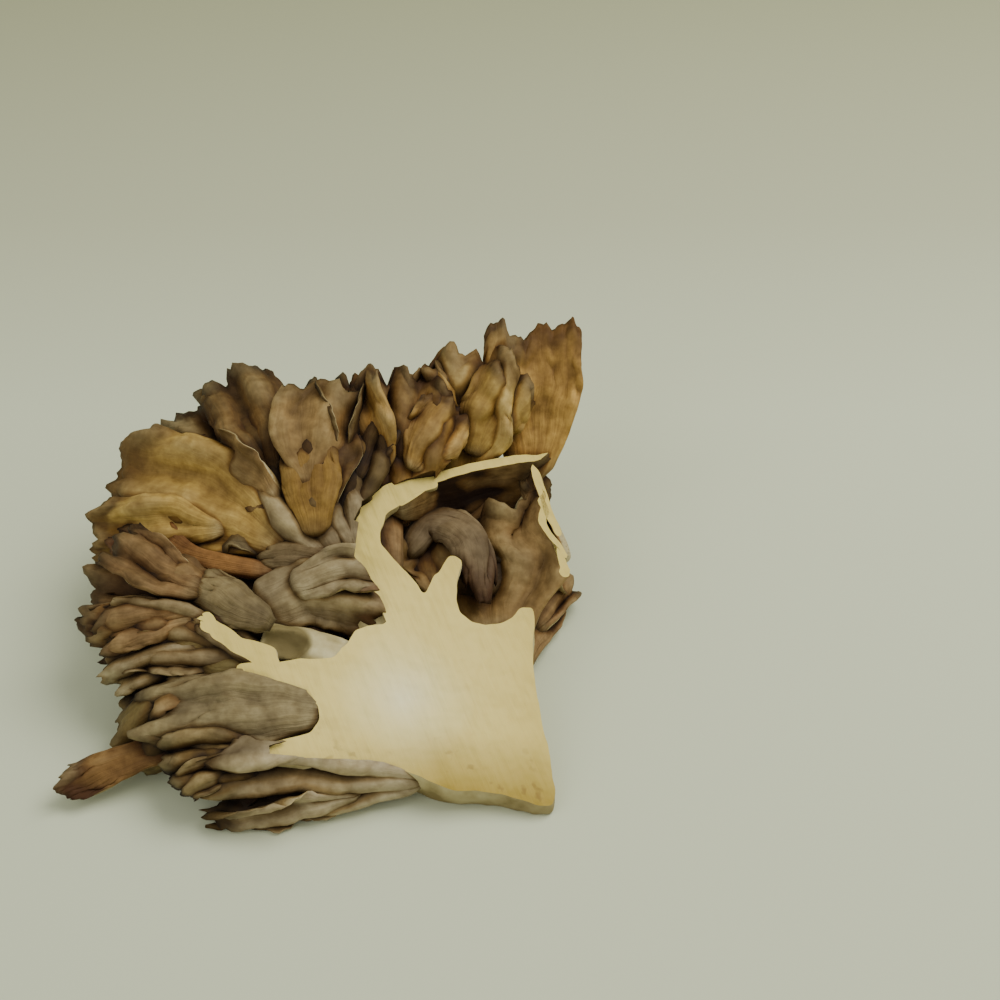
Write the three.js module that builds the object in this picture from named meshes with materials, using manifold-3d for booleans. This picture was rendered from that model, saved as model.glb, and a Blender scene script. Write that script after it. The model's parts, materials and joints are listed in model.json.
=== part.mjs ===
// One half of a maitake mushroom (hen of the woods), split through its foot with a knife.
// It lies on its rounded outside with the pale cut face up, tilted towards the front right.
// The trunk is one body of white flesh with its branches; every frond is a cap on its own stalk.
// Millimetres, +Z up. X runs along the cut foot's front edge, +Y towards the crown's far side, and
// the tables below measure from a point near the trunk, which the whole group is then moved from.

import * as THREE from "three";
import { mergeGeometries, mergeVertices } from "three/addons/utils/BufferGeometryUtils.js";
import Module from "manifold-3d";

const wasm = await Module();
wasm.setup();

// The knife's plane: its height over the origin and its rise per millimetre along X and Y.
const CUT_HEIGHT = 47.4;
const CUT_RISE_X = -0.17;
const CUT_RISE_Y = 0.36;
const CUT_NORMAL = new THREE.Vector3(-CUT_RISE_X, -CUT_RISE_Y, 1).normalize();

// The middle of the half in plan. It becomes the origin, on the surface that the half lies on.
const MIDDLE = [5.7, -8];

// Flesh thickness of a stalk and of a cap, and the air between pieces that touch.
const STALK_THICK = 8;
const CAP_THICK = 3.2;
const GAP = 0.5;

// How a cap's outline differs from a square end: the lag of its corners behind its tip and the depth
// of the scallops in its margin, both as shares of its length. A stalk opens out between two shares
// of its length: soon in a fan, late in a spoon.
const CORNER_LAG = 0.16;
const SCALLOP = 0.1;
const FAN = [0.02, 0.6];
const SPOON = [0.4, 0.9];

// The share of a sheet's width and length that counts as its border.
const BORDER = 0.01;

// A sheet that comes down onto the surface bends softly and lies along it: the height of its middle
// there, a little less than half its thickness, so that its underside is pressed flat.
const REST_BEND = 1.25;
const REST_HEIGHT = 1.2;

// Colours of the cut flesh and of the caps, from grey-brown through golden to dark.
const FLESH = 0xd3c7a0;
const CAP_COLOURS = { grey: 0x7d6b4e, golden: 0x93763e, tan: 0x85693a, brown: 0x6b4f2c, dark: 0x49381e };

// The trunk's cut face in plan, seen from above, anticlockwise from the corner of the foot.
const TRUNK_OUTLINE = [
  [76, -82], [75, -68], [72.5, -54], [70.5, -40], [70, -19], [62, -26], [54, -28.5], [47, -25],
  [43, -20], [34, -20], [27.5, -24], [26, -31], [15, -33], [12, -38], [8, -44], [2, -49], [-2.5, -53.5],
  [3, -58], [4, -64], [-1, -70], [-4, -75.5], [12, -76], [23, -74.7], [35, -77], [45, -80],
  [54, -79.6], [65, -80.5],
];
const TRUNK_CENTRE = [42, -51];
const TRUNK_POINTS = 56;
// Each ring below the cut face: its depth under the face and its share of the face's width.
const TRUNK_BELLY = [[0, 1], [5, 1.0], [12, 0.93], [20, 0.78], [26, 0.58], [31, 0.3]];

// How far the uncut body stands above the knife's plane before it is cut.
const ABOVE_CUT = 2;

// Branches of the trunk: the points of the centre line and the radius at both ends.
const BRANCHES = {
  arch: { line: [[34, -32, 30], [24, -16, 35], [14, -5, 42], [18, 9, 45], [28, 17, 46]], radius: [8, 3.5] },
  arch_rim: { line: [[15, 0, 42.5], [19, 10, 45], [26, 16, 46.5], [38, 20.5, 46.5]], radius: [5, 2.6] },
  stub: { line: [[42, -34, 28], [40, -20, 31], [45, -6, 35]], radius: [8, 2.5] },
  upper: { line: [[22, -50, 26], [-4, -50, 28], [-22, -50, 31]], radius: [8, 2] },
  lower: { line: [[20, -66, 16], [4, -71, 18], [-11, -74, 20]], radius: [9, 3] },
  left: { line: [[24, -45, 18], [2, -38, 26], [-16, -36, 31]], radius: [9, 5] },
  crown: { line: [[30, -35, 18], [8, -12, 27], [-8, 4, 38]], radius: [10, 6] },
  middle: { line: [[45, -36, 12], [44, -2, 13], [45, 27, 28]], radius: [9, 5] },
  right: { line: [[60, -36, 11], [66, 0, 13], [70, 32, 29]], radius: [8, 5] },
  low_left: { line: [[28, -48, 12], [0, -38, 12], [-22, -30, 12]], radius: [8, 5] },
  low_back: { line: [[40, -40, 13], [24, 0, 14], [14, 24, 16]], radius: [9, 5] },
};
// A hollow in the flesh that the knife opened, seen as an oval pit.
const PIT = { centre: [-8, -40, 34], size: [9, 5, 7] };

// Fronds that the cut side shows. The spine runs from the root to the tip; face is the way the cap's
// brown upper side looks; widths are at the stalk and across the cap; cup lifts the side margins;
// waves and ripple are the number and height of the folds along the margin; a cut frond ends at the knife.
const CUT_SIDE_FRONDS = {
  frond_finger: {
    spine: [[-14, -61, 15], [-50, -68, 13], [-78, -78, 7]], face: [0, -0.5, 1], widths: [9, 12],
    opens: SPOON, cup: -0.2, waves: 1, ripple: 1, colour: "brown",
  },
  frond_front_skirt: {
    spine: [[38, -73, 8], [4, -80, 12], [-36, -80, 11]], face: [0, -1, 0.3], widths: [9, 29],
    opens: FAN, cup: -0.15, waves: 3, ripple: 2.5, colour: "dark",
  },
  frond_front_crumple: {
    spine: [[-6, -72, 14], [-26, -73, 18], [-46, -72, 14]], face: [-0.2, -0.6, 1], widths: [9, 20],
    opens: FAN, cup: 0.2, waves: 3, ripple: 2.5, colour: "dark",
  },
  frond_grey_left: {
    spine: [[6, -58, 20], [-20, -62, 28], [-56, -61, 20]], face: [0, -0.5, 1], widths: [15, 25],
    opens: FAN, cup: -0.15, waves: 2, ripple: 1.2, colour: "grey",
  },
  frond_olive: {
    spine: [[-16, -50, 24], [-42, -50, 23], [-64, -47, 17]], face: [-0.2, -0.6, 0.8], widths: [22, 36],
    opens: FAN, cup: 0.1, waves: 1, ripple: 1.5, colour: "tan",
  },
  frond_brown_corner: {
    spine: [[-16, -30, 36], [-47, -27, 39], [-76, -16, 34]], face: [0, -0.5, 1], widths: [16, 32],
    opens: FAN, cup: 0.1, waves: 2, ripple: 2.5, colour: "brown",
  },
  frond_brown_lower: {
    spine: [[-16, -41, 30], [-45, -37, 32], [-70, -31, 25]], face: [0, -0.6, 0.8], widths: [12, 24],
    opens: FAN, cup: 0.25, waves: 3, ripple: 2, colour: "grey",
  },
  frond_light_grey: {
    spine: [[-12, -36, 37], [-27, -30, 42], [-42, -20, 40]], face: [0.2, -0.6, 1], widths: [9, 16],
    opens: FAN, cup: -0.4, waves: 1, ripple: 1, colour: "grey",
  },
  frond_reddish: {
    spine: [[-10, -14, 37], [-42, -8, 40], [-70, 10, 35]], face: [0, -0.5, 1], widths: [7, 20],
    opens: SPOON, cup: 0.3, waves: 1, ripple: 1, colour: "brown",
  },
  frond_golden: {
    spine: [[-8, -8, 42], [-40, 10, 48], [-78, 30, 40]], face: [-0.2, -0.6, 0.9], widths: [12, 42],
    opens: FAN, cup: 0.1, waves: 2, ripple: 2, colour: "golden",
  },
  frond_crown_left: {
    spine: [[-6, -4, 44], [-26, 21, 55], [-54, 56, 51]], face: [-0.3, -0.6, 0.8], widths: [14, 42],
    opens: FAN, cup: -0.1, waves: 3, ripple: 3, colour: "brown",
  },
  frond_crown_lobe: {
    spine: [[0, -6, 46], [-2, 6, 60], [-4, 24, 65]], face: [0, -1, 0.5], widths: [10, 20],
    opens: FAN, cup: -0.4, waves: 1, ripple: 1, colour: "golden",
  },
  frond_crown_tan: {
    spine: [[-2, -4, 44], [-10, 12, 57], [-23, 47, 61]], face: [-0.1, -0.8, 0.6], widths: [16, 50],
    opens: FAN, cup: -0.15, waves: 2, ripple: 3, colour: "tan",
  },
  frond_crown_dark: {
    spine: [[9, 0, 44], [8, 22, 58], [6, 53, 66]], face: [0.1, -0.8, 0.6], widths: [12, 32],
    opens: FAN, cup: 0.2, waves: 3, ripple: 3, colour: "dark",
  },
  frond_crown_striped: {
    spine: [[25, 17, 42], [26, 27, 57], [28, 52, 71]], face: [0, -0.9, 0.5], widths: [16, 38],
    opens: FAN, cup: 0.1, waves: 3, ripple: 2.5, colour: "tan",
  },
  frond_back_golden: {
    spine: [[44, 29, 33], [47, 42, 54], [50, 62, 74]], face: [-0.2, -0.9, 0.5], widths: [18, 36],
    opens: FAN, cup: 0.1, waves: 2, ripple: 2.5, colour: "golden",
  },
  frond_back_tall: {
    spine: [[70, 34, 34], [71, 50, 57], [71, 73, 79]], face: [0, -0.9, 0.5], widths: [16, 34],
    opens: FAN, cup: 0.2, waves: 1, ripple: 2, colour: "tan",
  },
  frond_mid_left: {
    spine: [[8, -12, 38], [-6, 0, 51], [-19, 18, 55]], face: [-0.2, -0.5, 0.9], widths: [9, 24],
    opens: FAN, cup: 0.2, waves: 2, ripple: 2.5, colour: "grey",
  },
  frond_mid_right: {
    spine: [[12, -6, 40], [10, 4, 51], [2, 20, 57]], face: [0.2, -0.5, 0.9], widths: [9, 22],
    opens: FAN, cup: 0.2, waves: 2, ripple: 2, colour: "grey",
  },
  frond_pale_fold: {
    spine: [[12, -14, 38], [-4, -11, 43], [-20, -10, 41]], face: [0, -0.5, 1], widths: [8, 11],
    opens: FAN, cup: -0.3, waves: 1, ripple: 0.8, colour: "grey",
  },
  frond_boulder: {
    spine: [[-20, -26, 31], [2, -21, 37], [26, -25, 31]], face: [0, -0.6, 0.8], widths: [20, 24],
    opens: FAN, cup: -0.35, waves: 1, ripple: 0.5, colour: "grey",
  },
  frond_cut_wave: {
    spine: [[-10, -47, 30], [-27, -41, 36], [-38, -34, 39]], face: [0.2, -1, 0], widths: [9, 9],
    opens: FAN, cup: 0.1, waves: 1, ripple: 1.5, colour: "tan", cut: true,
  },
  frond_arch_cap: {
    spine: [[22, 11, 44], [45, 24, 44], [82, 38, 43]], face: [0.4, -1, 0.1], widths: [14, 40],
    opens: FAN, cup: 0.15, waves: 1, ripple: 1, colour: "tan", cut: true,
  },
  frond_arch_edge: {
    spine: [[80, 2, 24], [76, 16, 36], [69, 31, 45]], face: [-1, -0.4, 0.2], widths: [12, 14],
    opens: FAN, cup: 0.1, waves: 1, ripple: 1, colour: "tan", cut: true,
  },
  frond_arch_back: {
    spine: [[58, -27, 13], [57, 1, 24], [52, 22, 36]], face: [-0.1, -0.6, 0.8], widths: [24, 56],
    opens: FAN, cup: 0.25, waves: 3, ripple: 2, colour: "tan",
  },
  frond_right_flank: {
    spine: [[62, -32, 9], [70, -4, 12], [72, 26, 8]], face: [0.4, 0.3, 1], widths: [14, 26],
    opens: FAN, cup: -0.3, waves: 2, ripple: 1.5, colour: "brown",
  },
  frond_arch_hook: {
    spine: [[27, 3, 26], [37, 13, 35], [50, 3, 36], [53, -17, 27]], face: [0, -0.3, 1], widths: [9, 14],
    opens: FAN, cup: -0.3, waves: 1, ripple: 0.5, colour: "grey",
  },
};

// Fronds of the rounded outside, in rows one under the other like roof tiles. Angles are about the
// trunk's centre in plan; every cap leaves its branch outwards and then droops towards the surface.
const OUTER_ROWS = [
  { row: "upper", count: 6, from: 170, to: 77, root: 42, reach: 100, rise: [30, 42, 29], cap: 44 },
  { row: "middle", count: 5, from: 174, to: 80, root: 34, reach: 92, rise: [18, 25, 11], cap: 46 },
  { row: "lower", count: 4, from: 178, to: 84, root: 26, reach: 74, rise: [10, 6, -14], cap: 42 },
];
// The rows are highest below the crown and lower both ways round: the share of the height left there,
// and the angles over which it comes to that. The last fronds on the right are shorter too.
const LOWER_LEFT = { share: 0.5, from: 128, to: 172 };
const LOWER_RIGHT = { share: 0.62, from: 120, to: 92 };
const SHORTER_RIGHT = { share: 0.85, from: 100, to: 76 };
const OUTER_SEED = 11;
const OUTER_COLOURS = ["brown", "tan", "grey"];

// How finely the solids are divided.
const CUT_SIDE_STEPS = { across: 7, along: 5 };
const OUTER_STEPS = { across: 6, along: 4 };
const BRANCH_STEPS = { round: 8, along: 4 };
// How far over the knife's face of the trunk nothing is left standing.
const CLEARED = 24;
// Slivers thinner than this are smoothed away after a cut.
const SLIVER = 0.1;

const point = (xyz) => new THREE.Vector3(...xyz);
const smooth = (value, low, high) => THREE.MathUtils.smoothstep(value, low, high);
const mix = THREE.MathUtils.lerp;
const cutHeight = (x, y) => CUT_HEIGHT + CUT_RISE_X * x + CUT_RISE_Y * y;

// A repeatable draw between 0 and 1.
function seededDraw(seed) {
  let state = seed;
  return () => {
    state = (state * 16807) % 2147483647;
    return state / 2147483647;
  };
}

// A closed geometry as a solid for joining and cutting.
function solidOf(geometry) {
  const bare = new THREE.BufferGeometry();
  bare.setAttribute("position", geometry.getAttribute("position"));
  bare.setIndex(geometry.index);
  const merged = mergeVertices(bare, 1e-4);
  return new wasm.Manifold(
    new wasm.Mesh({
      numProp: 3,
      vertProperties: merged.attributes.position.array,
      triVerts: new Uint32Array(merged.index.array),
    }),
  );
}

// A solid back as a geometry that can be shown.
function geometryOf(solid) {
  const { vertProperties, triVerts } = solid.getMesh();
  const geometry = new THREE.BufferGeometry();
  geometry.setAttribute("position", new THREE.BufferAttribute(vertProperties, 3));
  geometry.setIndex(new THREE.BufferAttribute(triVerts, 1));
  geometry.computeVertexNormals();
  return geometry;
}

// A grid of rings, each a closed list of points, closed by a point at both ends.
function loft(rings, first, last) {
  const size = rings[0].length;
  const vertices = [first, ...rings.flat(), last];
  const index = [];
  const at = (ring, i) => 1 + ring * size + (i % size);
  for (let i = 0; i < size; i++) {
    index.push(0, at(0, i), at(0, i + 1));
    index.push(vertices.length - 1, at(rings.length - 1, i + 1), at(rings.length - 1, i));
    for (let ring = 0; ring < rings.length - 1; ring++) {
      index.push(at(ring, i), at(ring + 1, i + 1), at(ring, i + 1));
      index.push(at(ring, i), at(ring + 1, i), at(ring + 1, i + 1));
    }
  }
  const geometry = new THREE.BufferGeometry().setFromPoints(vertices);
  geometry.setIndex(index);
  return geometry;
}

// The trunk's body: the outline of the cut face carried down into a rounded belly.
function trunkBody(grow) {
  const points = new THREE.CatmullRomCurve3(
    TRUNK_OUTLINE.map(([x, y]) => new THREE.Vector3(x, y, 0)), true, "centripetal",
  ).getSpacedPoints(TRUNK_POINTS).slice(0, TRUNK_POINTS);
  const outline = points.map((p, i) => {
    const along = points[(i + 1) % TRUNK_POINTS].clone().sub(points.at(i - 1)).normalize();
    return new THREE.Vector3(p.x + grow * along.y, p.y - grow * along.x, 0);
  });
  const [cx, cy] = TRUNK_CENTRE;
  const ringAt = ([depth, share]) => outline.map((p) => {
    const x = mix(cx, p.x, share);
    const y = mix(cy, p.y, share);
    return new THREE.Vector3(x, y, cutHeight(x, y) - depth - (depth > 0 ? grow : 0));
  });
  const above = outline.map((p) => new THREE.Vector3(p.x, p.y, cutHeight(p.x, p.y) + ABOVE_CUT));
  const deepest = TRUNK_BELLY.at(-1)[0] + 1 + grow;
  return solidOf(loft(
    [above, ...TRUNK_BELLY.map(ringAt)],
    new THREE.Vector3(cx, cy, cutHeight(cx, cy) + ABOVE_CUT),
    new THREE.Vector3(cx, cy, cutHeight(cx, cy) - deepest),
  ));
}

// One branch: a tube that narrows along its line.
function branchTube({ line, radius }, grow) {
  const curve = new THREE.CatmullRomCurve3(line.map(point), false, "catmullrom");
  const { round, along } = BRANCH_STEPS;
  const frames = curve.computeFrenetFrames(along, false);
  const centreAt = (t) => curve.getPointAt(t).addScaledVector(curve.getTangentAt(t), grow * (2 * t - 1));
  const rings = [];
  for (let i = 0; i <= along; i++) {
    const r = mix(radius[0], radius[1], i / along) + grow;
    rings.push(Array.from({ length: round }, (_, k) => {
      const turn = (2 * Math.PI * k) / round;
      return centreAt(i / along)
        .addScaledVector(frames.normals[i], r * Math.cos(turn))
        .addScaledVector(frames.binormals[i], r * Math.sin(turn));
    }));
  }
  return solidOf(loft(rings.reverse(), centreAt(1), centreAt(0)));
}

// Everything under the knife and over the surface the half lies on.
function trimmed(solid, cut) {
  const grounded = solid.trimByPlane([0, 0, 1], 0);
  if (!cut) return grounded;
  const n = CUT_NORMAL;
  return grounded.trimByPlane([-n.x, -n.y, -n.z], -CUT_HEIGHT * n.z);
}

// The oval pit, a stretched ball sunk into the flesh.
function pitSolid() {
  const ball = new THREE.SphereGeometry(1, 10, 6);
  ball.scale(...PIT.size).translate(...PIT.centre);
  return solidOf(ball);
}

function trunkSolid(grow = 0) {
  const parts = [trunkBody(grow), ...Object.values(BRANCHES).map((branch) => branchTube(branch, grow))];
  return trimmed(wasm.Manifold.union(parts), true);
}

// The space over the trunk's cut face, where the knife took everything away.
function spaceOverFace(grow) {
  const level = new THREE.Quaternion().setFromUnitVectors(CUT_NORMAL, new THREE.Vector3(0, 0, 1));
  const toLevel = new THREE.Matrix4().makeRotationFromQuaternion(level);
  const height = CUT_HEIGHT * CUT_NORMAL.z;
  return trunkSolid(grow)
    .transform(toLevel.elements)
    .slice(height - 0.02)
    .extrude(CLEARED)
    .translate(0, 0, height - 0.1)
    .transform(toLevel.clone().invert().elements);
}

// A point of a frond's middle sheet: u is -1 to 1 across it, v is 0 at the root and 1 at the margin.
function sheetPoint(frond, u, v) {
  const opened = smooth(v, ...frond.opens);
  const [stalk, cap] = frond.widths;
  const half = mix(stalk, cap, opened) / 2;
  const scallop = (1 - Math.cos(frond.waves * Math.PI * u + frond.phase)) / 2;
  const lag = CORNER_LAG * u * u + SCALLOP * scallop;
  const along = THREE.MathUtils.clamp(v * (1 - opened * lag), 0, 1);
  const tangent = frond.curve.getTangent(along);
  const upper = frond.up.clone().addScaledVector(tangent, -frond.up.dot(tangent)).normalize();
  const sideways = new THREE.Vector3().crossVectors(tangent, upper);
  const fold = frond.ripple * opened * Math.sin(frond.waves * Math.PI * u + frond.phase);
  const place = frond.curve.getPoint(along)
    .addScaledVector(sideways, half * u)
    .addScaledVector(upper, frond.cup * half * u * u * opened + fold);
  const lift = place.z - REST_HEIGHT;
  if (lift < REST_BEND * 8) place.z = REST_HEIGHT + REST_BEND * Math.log1p(Math.exp(lift / REST_BEND));
  return place;
}

// The same point, pushed outwards past the sheet's border if it lies on it.
function grownPoint(frond, u, v, grow) {
  const place = sheetPoint(frond, u, v);
  const onSide = Math.abs(u) > 1 - BORDER;
  const onEnd = Math.abs(v - 0.5) > 0.5 - BORDER;
  if (!grow || !(onSide || onEnd)) return place;
  const inner = sheetPoint(frond, onSide ? u * (1 - BORDER) : u, onEnd ? mix(v, 0.5, BORDER) : v);
  return place.addScaledVector(place.clone().sub(inner).normalize(), grow);
}

// Half the thickness of a frond there: a thick stalk, a thin cap, and nothing at the margins.
function halfThickness(u, v, grow) {
  const thick = mix(STALK_THICK, CAP_THICK, smooth(v, 0.05, 0.45)) / 2;
  const edge = Math.sqrt(Math.max(0, 1 - u ** 4));
  const ends = Math.min(1, v / 0.06) * Math.sqrt(Math.max(0, 1 - smooth(v, 0.8, 1) ** 3));
  return (thick + grow) * edge * ends;
}

// A frond's solid: its middle sheet on a plane's grid, with the same grid above and below it.
function frondSolid(frond, grow = 0) {
  const middle = new THREE.PlaneGeometry(2, 1, frond.steps.across, frond.steps.along);
  const places = middle.getAttribute("position");
  const halves = [];
  for (let i = 0; i < places.count; i++) {
    const u = Math.sin((places.getX(i) * Math.PI) / 2);
    const v = places.getY(i) + 0.5;
    places.setXYZ(i, ...grownPoint(frond, u, v, grow));
    halves.push(halfThickness(u, v, grow));
  }
  middle.computeVertexNormals();
  const faces = [1, -1].map((side) => {
    const face = middle.clone();
    const raised = face.getAttribute("position");
    const normals = face.getAttribute("normal");
    const place = new THREE.Vector3();
    const normal = new THREE.Vector3();
    halves.forEach((half, i) => {
      place.fromBufferAttribute(raised, i);
      normal.fromBufferAttribute(normals, i);
      raised.setXYZ(i, ...place.addScaledVector(normal, side * half));
    });
    if (side < 0) face.index.array.reverse();
    return face;
  });
  return trimmed(solidOf(mergeGeometries(faces)), frond.cut);
}

// Fills in what a frond's table entry leaves out.
function prepared(name, entry, steps, phase) {
  return {
    ...entry,
    name,
    steps,
    phase,
    curve: new THREE.CatmullRomCurve3(entry.spine.map(point), false, "catmullrom"),
    up: point(entry.face).normalize(),
  };
}

// The share that is left at an angle, eased from all of it at one angle to the share at another.
function shareLeft(turn, { share, from, to }) {
  return mix(1, share, smooth((turn - from) / (to - from), 0, 1));
}

function outerFronds() {
  const draw = seededDraw(OUTER_SEED);
  const [cx, cy] = TRUNK_CENTRE;
  return OUTER_ROWS.flatMap(({ row, count, from, to, root, reach, rise, cap }) =>
    Array.from({ length: count }, (_, i) => {
      const turn = mix(from, to, i / (count - 1)) + 6 * (draw() - 0.5);
      const way = THREE.MathUtils.degToRad(turn);
      const length = reach * (0.95 + 0.1 * draw()) * shareLeft(turn, SHORTER_RIGHT);
      const start = Math.min(root, 0.6 * length);
      const height = shareLeft(turn, LOWER_LEFT) * shareLeft(turn, LOWER_RIGHT);
      const out = (r, z) => [cx + r * Math.cos(way), cy + r * Math.sin(way), height * z];
      const entry = {
        spine: [out(start, rise[0]), out(mix(start, length, 0.55), rise[1]), out(length, rise[2])],
        face: [0.8 * Math.cos(way), 0.8 * Math.sin(way), 1],
        widths: [15, cap * (0.9 + 0.2 * draw())],
        opens: FAN,
        cup: -0.2 + 0.2 * draw(),
        waves: 2,
        ripple: 2,
        colour: OUTER_COLOURS[i % OUTER_COLOURS.length],
      };
      return prepared(`frond_${row}_${i + 1}`, entry, OUTER_STEPS, 6 * draw());
    }),
  );
}

// The largest piece of a solid, so that a scrap cut loose is dropped.
function largest(solid) {
  return solid.decompose().reduce((a, b) => (a.volume() > b.volume() ? a : b));
}

function meshOf(name, solid, colour) {
  const material = new THREE.MeshStandardMaterial({ color: colour, roughness: 0.8, metalness: 0 });
  const mesh = new THREE.Mesh(geometryOf(solid), material);
  mesh.name = name;
  return mesh;
}

const maitake = new THREE.Group();
maitake.position.set(-MIDDLE[0], -MIDDLE[1], 0);
maitake.add(meshOf("trunk", trunkSolid().subtract(pitSolid()), FLESH));

const fronds = [
  ...Object.entries(CUT_SIDE_FRONDS).map(([name, entry], i) => prepared(name, entry, CUT_SIDE_STEPS, i)),
  ...outerFronds(),
];

// Each frond gives way to the trunk and to the fronds before it, with the gap between.
let taken = trunkSolid(GAP).add(spaceOverFace(GAP));
for (const frond of fronds) {
  const solid = largest(frondSolid(frond).subtract(taken).simplify(SLIVER));
  taken = taken.add(frondSolid(frond, GAP));
  maitake.add(meshOf(frond.name, solid, CAP_COLOURS[frond.colour]));
}

export default maitake;
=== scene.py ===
"""One half of a maitake mushroom, split through its foot and lying with the cut flesh up.

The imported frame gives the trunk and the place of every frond. This script dresses them: the trunk
gets soft flesh with a crisp cut face, and every frond becomes a thin, folded cap with a frilled
margin.
"""

import json
import math
import random

import bmesh
import bpy
from mathutils import Matrix, Vector, noise
from mathutils.bvhtree import BVHTree

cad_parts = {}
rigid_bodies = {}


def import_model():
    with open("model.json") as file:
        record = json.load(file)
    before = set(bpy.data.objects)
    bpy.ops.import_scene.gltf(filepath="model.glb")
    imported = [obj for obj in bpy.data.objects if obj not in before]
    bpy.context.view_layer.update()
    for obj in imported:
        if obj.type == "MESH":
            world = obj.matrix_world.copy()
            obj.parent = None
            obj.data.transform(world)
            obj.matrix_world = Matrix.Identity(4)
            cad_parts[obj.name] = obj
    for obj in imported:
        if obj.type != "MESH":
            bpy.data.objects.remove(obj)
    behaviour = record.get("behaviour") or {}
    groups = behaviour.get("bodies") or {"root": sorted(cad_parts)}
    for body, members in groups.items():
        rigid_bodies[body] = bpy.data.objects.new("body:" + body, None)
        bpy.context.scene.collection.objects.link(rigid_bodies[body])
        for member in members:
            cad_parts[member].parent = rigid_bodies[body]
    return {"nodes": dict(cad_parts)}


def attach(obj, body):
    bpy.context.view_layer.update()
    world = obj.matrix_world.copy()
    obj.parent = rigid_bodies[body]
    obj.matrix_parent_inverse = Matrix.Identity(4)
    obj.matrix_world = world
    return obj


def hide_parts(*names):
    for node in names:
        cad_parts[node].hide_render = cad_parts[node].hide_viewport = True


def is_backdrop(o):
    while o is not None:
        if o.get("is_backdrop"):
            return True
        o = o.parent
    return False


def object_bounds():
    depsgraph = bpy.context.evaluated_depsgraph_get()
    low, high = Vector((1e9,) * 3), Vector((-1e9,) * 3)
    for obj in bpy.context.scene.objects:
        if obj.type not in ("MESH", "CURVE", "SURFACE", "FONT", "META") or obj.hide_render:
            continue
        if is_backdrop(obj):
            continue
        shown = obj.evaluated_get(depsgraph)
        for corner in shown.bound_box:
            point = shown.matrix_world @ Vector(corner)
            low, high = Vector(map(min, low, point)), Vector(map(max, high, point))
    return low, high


bl_info = {
    "name": "Maitake half",
    "version": (1, 0, 0),
    "blender": (4, 5, 0),
    "location": "View3D > Sidebar > Maitake",
    "description": "Dresses the packed half of a maitake mushroom with fronds, flesh and a studio",
    "category": "Object",
}

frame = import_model()
CAD_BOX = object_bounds()

MM = 0.001
BODY = "root"

# The middle of the half in plan. The tables below measure in millimetres from a point near the
# trunk, as the part does.
MIDDLE = Vector((5.7, -8, 0))

# The knife's plane: its height over that point and its rise per millimetre along X and Y.
CUT_HEIGHT = 47.4
CUT_RISE_X = -0.17
CUT_RISE_Y = 0.36
CUT_NORMAL = Vector((-CUT_RISE_X, -CUT_RISE_Y, 1)).normalized()
KNIFE = (Vector((0, 0, CUT_HEIGHT)) - MIDDLE) * MM
# How far over the knife's face of the trunk nothing is left standing, in millimetres.
CLEARED = 24
# How near to the knife's plane a corner lies in it, how far a cut frond ends under the plane, and
# how far the cleared space reaches into the trunk.
IN_PLANE = 0.02
UNDER_PLANE = 0.05
SUNK = 0.1
# The trunk's soft outside: how far its flesh is first raised over the knife's plane, how often its
# corners are rounded, and how much it swells, so that rounding leaves it as thick as it was.
RAISED = 5
ROUNDING_TURNS = 3
SWELLING = 0.35

# Width and depth of the boxes that fronds are cut with, the distance at which corners are one, and
# the one at which an edge has no length, in metres.
CUTTER_WIDTH = 0.6
CUTTER_DEPTH = 0.1
SAME_CORNER = 1e-6
NO_LENGTH = 1e-7

# Material slots of every piece: its upper skin, its underside or outside, its cut faces, and the
# faces where it gave way to the trunk or the space over it, which wear its upper skin and, having
# no relief of their own, its darkest fold colour, as painted shade of a gap.
UPPER, UNDER, CUT, PARTED = range(4)

# Shape of every frond, in millimetres or as shares of its length: how thick its stalk and cap are,
# the width under which a stalk is thinner too, how far its corners and the dips between its folds
# stay behind its tip, and where it opens from stalk to cap.
STALK_THICK = 8
SOLID_STALK = 9
CAP_THICK = 3.0
CORNER_LAG = 0.16
SCALLOP = 0.08
FAN = (0.02, 0.6)
SPOON = (0.4, 0.9)
# A frond that would pass through the floor bends softly and comes to rest this high.
REST_BEND = 1.25
REST_HEIGHT = 1.2
# Steps of side lobes and of outer fronds, as shares of a cut side frond's.
LOBE_STEPS = 5 / 8
OUTER_STEPS = 3 / 4

# The ragged margin: depth and size of its notches, as shares of length and width, and their seeds.
RAGGED = ((0.1, 0.4, 7.3), (0.08, 0.15, 1.7), (0.03, 0.06, 4))

# Finer relief of every cap, in millimetres: dents, with their shares of that depth and how far they
# are apart, ridges from stalk to margin, the curl of the margin and its frill.
CRUMPLE = 3.2
DENTS = ((1, 13), (0.4, 5))
RIDGE = 0.3
CURL, CURL_SIZE = 4.5, 9
FRILL, FRILL_SIZE = 1.8, 3.2
# The height of relief over which the skin's painted shade and painted highlight change, in
# millimetres.
RELIEF_SPAN = 10
LOBE_SEED = 5
# Dents in the trunk's uncut outside: their shares of its relief, and how far they are apart.
FLESH_DENTS = ((1, 9), (0.4, 3.5))

# Shade is painted into the skins where fronds crowd together: there they are darker. Directions
# that are tried for other skin, in sets that neighbouring vertices take in turn, the distance over
# the skin at which they start and how far away other skin still counts, in millimetres, how far a
# direction leaves the skin at least, and how often the result is evened out between neighbours.
FEELER_SETS = [
    [Vector((math.cos(turn) * math.cos(rise), math.sin(turn) * math.cos(rise), math.sin(rise)))
     for rise in (-0.35 + 0.05 * k, 0.25 + 0.08 * k, 0.85 + 0.08 * k)
     for turn in (0.18 * k, 0.18 * k + 1.26, 0.18 * k + 2.51, 0.18 * k + 3.77, 0.18 * k + 5.03)]
    for k in range(7)]
FEELER_START = 0.5
FEELER_REACH = 15
FEELER_SLANT = 0.15
EVENING_ROUNDS = 3

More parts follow.
